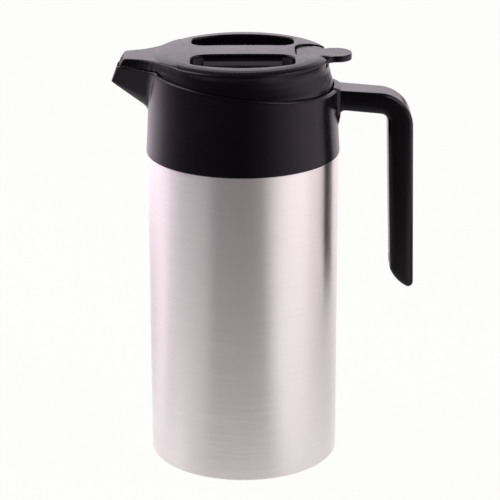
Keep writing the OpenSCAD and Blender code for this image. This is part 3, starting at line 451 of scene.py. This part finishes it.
def lid(x, y, z):
    """Domed cap with skirt and bill, its two finger pits, the lever's slot and the window to the spout."""
    rho = np.hypot(x, y)
    ay = np.abs(y)
    top = z - lid_top(rho)
    skirt = np.maximum(lid_side(z), lid_side(z + RIM_TILT * np.minimum(x, 0)))
    swell = np.exp(-((x - SWELL_X) / SWELL_W) ** 2) * np.clip((SWELL_TOP - z) / SWELL_H, 0, 1)
    skirt = skirt + SWELL * swell
    solid = common(common(top, rho - skirt, BROW_ROUND), SKIRT_Z - z, SKIRT_ROUND)
    front = BILL_DIR[0] * (x - BILL_TIP[0]) + BILL_DIR[1] * (z - BILL_TIP[1])
    bill_top = z - BILL_TOP - BILL_RISE * (x - BILL_X)
    flare = np.interp(x, FLARE_X, FLARE) * np.clip((FLARE_TOP - z) / FLARE_H, 0, FLARE_MOST)
    bill = common(common(bill_plan(x, y) - flare, front, 1.0), bill_top, 0.8)
    bill = np.maximum(common(bill, BILL_LOW - z, 0.3), x - BILL_END)
    solid = joined(solid, bill, BILL_FILLET)
    hollow = np.maximum(np.maximum(rho - skirt + LID_WALL, top + LID_ROOF), HOLLOW_LOW - z)
    cap = less(solid, hollow, 0.3)
    pit = pit_plan(x, ay)
    well = np.maximum(np.maximum(pit - PIT_WALL, z - WELL_TOP), PIT_Z - z)
    cap = np.minimum(cap, well)
    ledge_top = LEDGE_Z - (ay - PIT_IN) * LEDGE_FALL
    ledge = common(common(ay - PIT_IN - LEDGE_W, z - ledge_top, 0.6), np.abs(x) - LEDGE_HALF, 0.8)
    dish = less(np.maximum(pit, PIT_Z + PIT_WALL - z), ledge, 0.4)
    cap = less(cap, dish, PIT_ROUND)
    slot = np.maximum(plate_plan(x, y) - SLOT_GAP, PLATE_LOW - SLOT_DEPTH - z)
    cap = less(cap, np.maximum(slot, -(pit - SLOT_KEEP)), SLOT_ROUND)
    window = np.maximum(np.maximum(x - WINDOW_X, ay - WINDOW_HALF), z - WINDOW_TOP)
    return np.maximum(cap, -window)


# Thumb lever


def lever(x, y, z):
    """Plate with its tab, hub round the pin, and an arm whose fork holds the valve's stem."""
    rho = np.hypot(x, y)
    ay = np.abs(y)
    plate = common(plate_plan(x, y), rho - LID_R, 0.5)
    out_x, out_y = np.maximum(x - TAB_X, 0), np.maximum(ay - TAB_HALF, 0)
    tab = np.maximum(np.hypot(out_x, out_y) - TAB_R, TAB_START - x)
    plan = joined(plate, tab, TAB_FILLET)
    fall = FALL * np.maximum(ay - FALL_Y, 0) ** 2 * np.clip((FALL_X - x) / FALL_W, 0, 1)
    brow = np.maximum(lid_top(rho) - BROW_DROP, PLATE_TOP - fall)
    slab = common(common(plan, z - np.minimum(brow, PLATE_TOP), 0.8), PLATE_LOW - z, 0.6)
    from_pin = np.hypot(x - PIN[0], z - PIN[1])
    hub = np.maximum(from_pin - HUB_R, ay - HUB_HALF)
    arm = np.maximum(np.maximum(ay - LEVER_HALF, np.abs(z - LEVER_Z) - 1), between(x, LEVER_END, PIN[0]))
    post = np.maximum(np.maximum(ay - LEVER_HALF, np.abs(z - POST_Z) - 3), between(x, PLATE_IN, PIN[0]))
    body = np.minimum(np.minimum(slab, hub), np.minimum(arm, post))
    fork = np.maximum(np.where(x < 0, ay, rho) - FORK_R, np.abs(z - LEVER_Z) - 3)
    return np.maximum(np.maximum(body, -(from_pin - PIN_HOLE_R)), -fork)


# Steel shell


def shell_path(d):
    """The steel's outline from the base to the neck, drawn in by d."""
    wall = BODY_R - d
    lower = [(BASE_HOLE_R, BASE_Z + d)]
    lower += arc((BODY_R - BASE_ROUND, BASE_Z + BASE_ROUND), BASE_ROUND - d, -90, 0, 8)
    lower += [(wall, z) for z in np.linspace(WALL_LOW, WALL_HIGH, WALL_RINGS)]
    upper = [(wall, STEEL_H - 0.4 * d), (wall - CHAMFER, STEEL_H + CHAMFER - 0.4 * d)]
    upper += arc(SHOULDER_C, SHOULDER_R - d, 0, 90, 12)
    return lower + upper + [(NECK_R - d, SHOULDER_C[1] + SHOULDER_R - d), (NECK_R - d, NECK_TOP)]


def show(obj, node, slot, body):
    """Puts a finished piece in the place of a node of the part."""
    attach(obj, body)
    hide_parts(node)
    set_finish(obj, slot)
    return obj


pieces = [
    show(lathe("steel_shell", shell_path(0) + shell_path(STEEL_T)[::-1], 288),
         "outer_shell", "brushed_steel", "carafe"),
    show(grown("collar_with_spout", collar, (-84, -63, 199.5), (64.5, 63, 259.5), 0.8),
         "collar", "black_plastic", "carafe"),
    show(grown("open_handle", handle, (58.5, -14, 110), (111, 14, 247), 0.7),
         "handle_shell", "handle_plastic", "carafe"),
    show(grown("lid_with_bill", lid, (-79, -58.5, 236.5), (58.5, 58.5, 268), 0.75),
         "lid_cover", "lid_plastic", "lid"),
    show(grown("thumb_rest", lever, (-6.5, -18, 253), (69.5, 18, 266.5), 0.55),
         "thumb_lever", "lid_plastic", "lever"),
]


# Materials


def maths(nt, operation, *values):
    """The result of one sum; each value is a socket or a plain number."""
    node = nt.nodes.new("ShaderNodeMath")
    node.operation = operation
    for socket, value in zip(node.inputs, values):
        if isinstance(value, (int, float)):
            socket.default_value = value
        else:
            nt.links.new(value, socket)
    return node.outputs[0]


def times(nt, a, b):
    """The product of two values."""
    return maths(nt, "MULTIPLY", a, b)


def length(nt, vector):
    """The length of a vector."""
    node = nt.nodes.new("ShaderNodeVectorMath")
    node.operation = "LENGTH"
    nt.links.new(vector, node.inputs[0])
    return node.outputs["Value"]


def carried(nt, value, source, result, soft=False):
    """A value carried from one range to another."""
    span = nt.nodes.new("ShaderNodeMapRange")
    if soft:
        span.interpolation_type = "SMOOTHSTEP"
    for ends, pair in (("From", source), ("To", result)):
        span.inputs[ends + " Min"].default_value = pair[0]
        span.inputs[ends + " Max"].default_value = pair[1]
    nt.links.new(value, span.inputs["Value"])
    return span.outputs["Result"]


def ranged(nt, value, zero, one):
    """Zero at the first bound and beyond, one at the second, soft between."""
    return carried(nt, value, (zero, one), (0, 1), soft=True)


def mixed(nt, share, a, b):
    """Two colours by share: a socket or a plain colour each."""
    mix = nt.nodes.new("ShaderNodeMix")
    mix.data_type = "RGBA"
    nt.links.new(share, mix.inputs["Factor"])
    for name, value in (("A", a), ("B", b)):
        if isinstance(value, tuple):
            mix.inputs[name].default_value = value
        else:
            nt.links.new(value, mix.inputs[name])
    return mix.outputs["Result"]


def tinted(nt, share, color, swing):
    """A colour that varies about its tone by a swing."""
    low = [c * (1 - swing) for c in color]
    high = [min(c * (1 + swing), 1) for c in color]
    return mixed(nt, share, (*low, 1), (*high, 1))


def noise(nt, vector, scale, detail, rough=0.5):
    """Cloudy noise between zero and one."""
    node = nt.nodes.new("ShaderNodeTexNoise")
    node.inputs["Scale"].default_value = scale
    node.inputs["Detail"].default_value = detail
    node.inputs["Roughness"].default_value = rough
    nt.links.new(vector, node.inputs["Vector"])
    return node.outputs["Fac"]


def relief(nt, bsdf, height, strength, depth):
    """Gives a surface the relief of a height."""
    bump = nt.nodes.new("ShaderNodeBump")
    bump.inputs["Strength"].default_value = strength
    bump.inputs["Distance"].default_value = depth
    nt.links.new(height, bump.inputs["Height"])
    nt.links.new(bump.outputs["Normal"], bsdf.inputs["Normal"])


# Metres by height and by distance from the axis or from the spout's plane: where painted light goes inside
# the lid's pits, and a painted highlight on their ledges
PIT_DEEP, PIT_NEAR = (0.2650, 0.2635), (0.0460, 0.0440)
LEDGE_FAR, LEDGE_NEAR, LEDGE_HIGH = (0.0160, 0.0152), (0.0115, 0.0120), (0.2585, 0.2600)
LEDGE_PAINTED_HIGHLIGHT = 18


def painted_pit_light(nt, place, shade, pits):
    """Painted light in the lid's finger pits: a paler tone for the light their walls reflect, and a painted
    highlight, paler still, on their ledges.
    """
    parts = nt.nodes.new("ShaderNodeSeparateXYZ")
    nt.links.new(place, parts.inputs[0])
    flat = nt.nodes.new("ShaderNodeCombineXYZ")
    nt.links.new(parts.outputs["X"], flat.inputs["X"])
    nt.links.new(parts.outputs["Y"], flat.inputs["Y"])
    low = ranged(nt, parts.outputs["Z"], *PIT_DEEP)
    inside = ranged(nt, length(nt, flat.outputs[0]), *PIT_NEAR)
    shade = mixed(nt, times(nt, low, inside), shade, (*pits, 1))
    # painted highlight: a band along the pits' ledges, paler still than the painted light in the pits
    across = maths(nt, "ABSOLUTE", parts.outputs["Y"])
    ledge_highlight = times(nt, ranged(nt, across, *LEDGE_FAR), ranged(nt, parts.outputs["Z"], *LEDGE_HIGH))
    ledge_highlight = times(nt, times(nt, ledge_highlight, low), ranged(nt, across, *LEDGE_NEAR))
    return mixed(nt, times(nt, ledge_highlight, inside), shade, (*[LEDGE_PAINTED_HIGHLIGHT * c for c in pits], 1))


def plastic(name, color, rough, vary, grain, spec=0.5, sheen=(1, 1, 1), pits=None):
    """Moulded plastic: fine grain, uneven gloss and rub marks, and painted light, a paler tone, inside the
    lid's pits with a painted highlight on their ledges.
    """
    m = bpy.data.materials.new(name)
    m.use_nodes = True
    nt = m.node_tree
    bsdf = nt.nodes["Principled BSDF"]
    bsdf.inputs["Specular IOR Level"].default_value = spec
    bsdf.inputs["Specular Tint"].default_value = (*sheen, 1)
    place = nt.nodes.new("ShaderNodeTexCoord").outputs["Object"]
    cloud = noise(nt, place, 45, 3)
    rub = noise(nt, place, 260, 2)
    gloss = carried(nt, maths(nt, "ADD", cloud, rub), (0.7, 1.3), (rough - vary, rough + vary))
    nt.links.new(gloss, bsdf.inputs["Roughness"])
    shade = tinted(nt, cloud, color, 0.14)
    # painted light inside the lid's pits, and a painted highlight on their ledges
    if pits:
        shade = painted_pit_light(nt, place, shade, pits)
    nt.links.new(shade, bsdf.inputs["Base Color"])
    relief(nt, bsdf, noise(nt, place, 1900, 1), grain, 0.0001)
    return m


def metal(name, color, rough, anisotropic, stretch, grain):
    """Brushed metal: streaks that run round the axis, in tone, gloss and relief."""
    m = bpy.data.materials.new(name)
    m.use_nodes = True
    nt = m.node_tree
    bsdf = nt.nodes["Principled BSDF"]
    bsdf.inputs["Metallic"].default_value = 1
    bsdf.inputs["Anisotropic"].default_value = anisotropic
    bsdf.inputs["Anisotropic Rotation"].default_value = 0.25
    scale = nt.nodes.new("ShaderNodeMapping")
    scale.inputs["Scale"].default_value = stretch
    nt.links.new(nt.nodes.new("ShaderNodeTexCoord").outputs["Object"], scale.inputs["Vector"])
    streak = noise(nt, scale.outputs["Vector"], 1, 4, 0.65)
    nt.links.new(tinted(nt, streak, color, 0.07), bsdf.inputs["Base Color"])
    gloss = carried(nt, streak, (0.3, 0.7), (rough - 0.05, rough + 0.05))
    nt.links.new(gloss, bsdf.inputs["Roughness"])
    relief(nt, bsdf, streak, grain, 0.00005)
    if anisotropic:
        around = nt.nodes.new("ShaderNodeTangent")
        around.direction_type = "RADIAL"
        around.axis = "Z"
        nt.links.new(around.outputs["Tangent"], bsdf.inputs["Tangent"])
    return m


# The third colour is painted light: the paler tone inside the lid's pits that stands in for what their
# walls reflect
BLACK, DEEP_BLACK, PIT_PAINTED_LIGHT = (0.0020, 0.0014, 0.0020), (0.0015, 0.0012, 0.0015), (0.0042, 0.0036, 0.0042)
SHINE = 0.26
looks = {
    "brushed_steel": metal("brushed_steel", (0.94, 0.872, 0.868), 0.34, 1.0, (30, 30, 2600), 0.15),
    "liner_steel": metal("liner_steel", (0.72, 0.71, 0.70), 0.38, 0.0, (40, 40, 900), 0.2),
    "black_plastic": plastic("black_plastic", BLACK, 0.25, 0.03, 0.12, spec=SHINE, sheen=(1.0, 0.86, 1.08)),
    "lid_plastic": plastic("lid_plastic", BLACK, 0.25, 0.03, 0.14, spec=SHINE, sheen=(1.0, 0.88, 1.07),
                           pits=PIT_PAINTED_LIGHT),
    "handle_plastic": plastic("handle_plastic", DEEP_BLACK, 0.20, 0.03, 0.08, spec=SHINE,
                              sheen=(1.0, 0.92, 1.03)),
    "inner_plastic": plastic("inner_plastic", (0.03, 0.03, 0.032), 0.48, 0.06, 0.12),
    "silicone": plastic("silicone", (0.70, 0.69, 0.66), 0.55, 0.05, 0.10),
    "foot_rubber": plastic("foot_rubber", (0.02, 0.02, 0.02), 0.75, 0.06, 0.30),
    "screw_steel": metal("screw_steel", (0.62, 0.62, 0.63), 0.30, 0.0, (300, 300, 300), 0.15),
}


def dress(obj, slot):
    """Gives an object the look of its slot."""
    obj.data.materials.clear()
    obj.data.materials.append(looks[slot])


slots = {s["node"]: s["material_slot"] for s in frame["record"]["subparts"]}
for node, obj in frame["nodes"].items():
    dress(obj, slots[node])
for piece in pieces:
    dress(piece, piece["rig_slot"])


# Floor, world and lamps

# Tones of the studio round the carafe by direction in degrees: 0 is the camera's side, 90 the handle's.
# NEAR is on the table, FAR beyond it and at eye level, HIGH above that and BOXES higher still.
NEAR = [(-180, 0.85), (-156, 0.50), (-136, 0.15), (-120, 0.45), (-105, 0.88), (-93, 0.30), (-80, 0.28),
        (-62, 0.72), (-44, 0.76), (-30, 0.24), (12, 0.17), (22, 0.30), (31, 1.10), (40, 1.50), (54, 1.10),
        (68, 0.78), (80, 0.50), (94, 0.20), (116, 0.35), (150, 0.75), (180, 0.85)]
FAR = [(-180, 1.00), (-156, 1.40), (-136, 1.85), (-119, 1.75), (-105, 1.00), (-90, 0.58), (-77, 0.36),
       (-56, 0.20), (0, 0.10), (30, 0.34), (50, 1.00), (74, 1.60), (94, 1.50), (110, 0.95), (124, 0.80),
       (139, 1.20), (151, 1.20), (180, 1.00)]
HIGH = [(-180, 0.95), (-140, 0.90), (-100, 0.70), (-72, 0.20), (-40, 0.06), (40, 0.06), (72, 0.15),
        (100, 0.45), (140, 0.70), (180, 0.95)]
BOXES = [(-180, 0.10), (-150, 0.15), (-132, 0.80), (-92, 0.95), (-72, 0.35), (-50, 0.08), (50, 0.08),
         (70, 0.35), (90, 0.60), (132, 0.60), (150, 0.12), (180, 0.10)]
FAR_GREEN = 0.93
WARM_SPAN, WARM_END = 12, 150
WHITE, PALE, DARK, CEILING = (1, 1, 0.99, 1), (0.8, 0.8, 0.8, 1), (0.1, 0.1, 0.1, 1), (0.14, 0.13, 0.145, 1)


def warmth(degrees):
    """From zero on the spout's side to one on the handle's."""
    return 1 / (1 + math.exp(-degrees / WARM_SPAN)) if abs(degrees) < WARM_END else 0.5


def room(nt, vector, tones, green=1.0):
    """Tone of the studio in the direction of a vector, and the vector's parts."""
    parts = nt.nodes.new("ShaderNodeSeparateXYZ")
    nt.links.new(vector, parts.inputs[0])
    angle = maths(nt, "ARCTAN2", parts.outputs["X"], times(nt, parts.outputs["Y"], -1))
    ramp = nt.nodes.new("ShaderNodeValToRGB")
    stops = ramp.color_ramp.elements
    while len(stops) < len(tones):
        stops.new(0.5)
    for stop, (degrees, tone) in zip(stops, tones):
        stop.position = (degrees + 180) / 360
        warm = warmth(degrees)
        stop.color = (tone, tone * green * (0.955 + 0.025 * warm), tone * (0.985 - 0.035 * warm), 1)
    nt.links.new(carried(nt, angle, (-math.pi, math.pi), (0, 1)), ramp.inputs["Fac"])
    return ramp.outputs["Color"], parts.outputs


def glow(nt, kind, color, strength=1.0):
    """A shader that gives light of one colour: a socket or a plain colour."""
    node = nt.nodes.new(kind)
    node.inputs["Strength"].default_value = strength
    if isinstance(color, tuple):
        node.inputs["Color"].default_value = color
    else:
        nt.links.new(color, node.inputs["Color"])
    return node.outputs[0]


def chosen(nt, share, a, b):
    """The first shader where the share is zero, the second where it is one."""
    mix = nt.nodes.new("ShaderNodeMixShader")
    if isinstance(share, float):
        mix.inputs[0].default_value = share
    else:
        nt.links.new(share, mix.inputs[0])
    nt.links.new(a, mix.inputs[1])
    nt.links.new(b, mix.inputs[2])
    return mix.outputs[0]


def emptied(holder):
    """The node tree of a material or a world, without its nodes."""
    holder.use_nodes = True
    holder.node_tree.nodes.clear()
    return holder.node_tree


def rays(nt):
    """Camera rays, and the rays that come by way of a gloss or through a body."""
    path = nt.nodes.new("ShaderNodeLightPath")
    shiny = maths(nt, "MAXIMUM", path.outputs["Is Glossy Ray"], path.outputs["Is Transmission Ray"])
    return path.outputs["Is Camera Ray"], shiny


FLOOR_SIZE, FLOOR_GREY, FLOOR_CLEAN = 8, (0.92, 0.92, 0.92, 1), 0.965
# Metres from the carafe: where the pale pool ends, where NEAR turns to FAR, and the dark behind
POOL, TURN, BEHIND = (0.08, 0.50), (0.52, 0.70), (1.1, 1.6)

bpy.ops.mesh.primitive_plane_add(size=FLOOR_SIZE, location=(0, 0, 0))
floor = bpy.context.object
floor.name = "floor"
floor_look = bpy.data.materials.new("floor_white")
nt = emptied(floor_look)
camera_ray, shiny_ray = rays(nt)
base = nt.nodes.new("ShaderNodeBsdfDiffuse")
base.inputs["Color"].default_value = FLOOR_GREY
place = nt.nodes.new("ShaderNodeTexCoord").outputs["Object"]
near, parts = room(nt, place, NEAR)
beyond, parts = room(nt, place, FAR, FAR_GREEN)
away = length(nt, place)
pool = mixed(nt, carried(nt, away, POOL, (1, 0)), near, PALE)
pool = mixed(nt, ranged(nt, away, *TURN), pool, beyond)
pool = mixed(nt, ranged(nt, parts["Y"], *BEHIND), pool, DARK)
seen = chosen(nt, FLOOR_CLEAN, base.outputs[0], glow(nt, "ShaderNodeEmission", WHITE))
plain = chosen(nt, camera_ray, base.outputs[0], seen)
surface = chosen(nt, shiny_ray, plain, glow(nt, "ShaderNodeEmission", pool))
nt.links.new(surface, nt.nodes.new("ShaderNodeOutputMaterial").inputs["Surface"])
floor.data.materials.append(floor_look)

# The world by height, as the sine of the direction's slope: eye level, above it, the boxes and the ceiling
HIGH_RISE, BOX_RISE, CEILING_RISE = (0.05, 0.30), (0.41, 0.56), (0.88, 0.97)
HIGH_BOOST, WORLD_DIM = (2.0, 1.90, 2.08), 0.45

world = bpy.data.worlds.new("studio")
bpy.context.scene.world = world
nt = emptied(world)
camera_ray, shiny_ray = rays(nt)
place = nt.nodes.new("ShaderNodeTexCoord").outputs["Generated"]
tone, parts = room(nt, place, FAR, FAR_GREEN)
upper, parts = room(nt, place, HIGH)
boxes, parts = room(nt, place, BOXES)
boost = nt.nodes.new("ShaderNodeVectorMath")
boost.operation = "MULTIPLY"
boost.inputs[1].default_value = HIGH_BOOST
nt.links.new(upper, boost.inputs[0])
sky = mixed(nt, ranged(nt, parts["Z"], *HIGH_RISE), tone, boost.outputs[0])
sky = mixed(nt, ranged(nt, parts["Z"], *BOX_RISE), sky, boxes)
sky = mixed(nt, ranged(nt, parts["Z"], *CEILING_RISE), sky, CEILING)
dim = nt.nodes.new("ShaderNodeBackground")
dim.inputs["Strength"].default_value = WORLD_DIM
lit = chosen(nt, shiny_ray, dim.outputs[0], glow(nt, "ShaderNodeBackground", sky))
surface = chosen(nt, camera_ray, lit, glow(nt, "ShaderNodeBackground", WHITE))
nt.links.new(surface, nt.nodes.new("ShaderNodeOutputWorld").inputs["Surface"])

LAMP_TARGET = (0, 0, 0.15)
LAMPS = [("key", (-0.9, 0.3, 1.2), 0.9, 7), ("fill", (0.9, -0.3, 1.1), 0.8, 4)]


def turned(obj, direction):
    """Points a lamp or a camera in a direction."""
    obj.rotation_mode = "QUATERNION"
    obj.rotation_quaternion = direction.to_track_quat("-Z", "Y")


for name, spot, size, power in LAMPS:
    data = bpy.data.lights.new(name, "AREA")
    data.shape = "RECTANGLE"
    data.size, data.size_y = size, size
    data.energy = power
    lamp = placed(name, data)
    lamp.location = spot
    turned(lamp, Vector(LAMP_TARGET) - Vector(spot))
    lamp.visible_camera = False

# Camera, in metres, radians and pixels of the photo
EYE, PITCH, YAW, ROLL = (0.0, -1.3718, 0.6257), -0.3440, 0.0031, -0.0023
FOCAL_PX, PHOTO_PX, SENSOR = 2279, 500, 36

cam_data = bpy.data.cameras.new("photo_camera")
cam_data.sensor_width = SENSOR
cam_data.lens = FOCAL_PX * SENSOR / PHOTO_PX
cam_data.clip_start, cam_data.clip_end = 0.05, 50
cam = placed("photo_camera", cam_data)
cam.location = EYE
turned(cam, Vector((math.sin(YAW) * math.cos(PITCH), math.cos(YAW) * math.cos(PITCH), math.sin(PITCH))))
cam.rotation_quaternion = cam.rotation_quaternion @ Matrix.Rotation(ROLL, 4, "Z").to_quaternion()
bpy.context.scene.camera = cam

bpy.context.scene.view_settings.view_transform = "Standard"
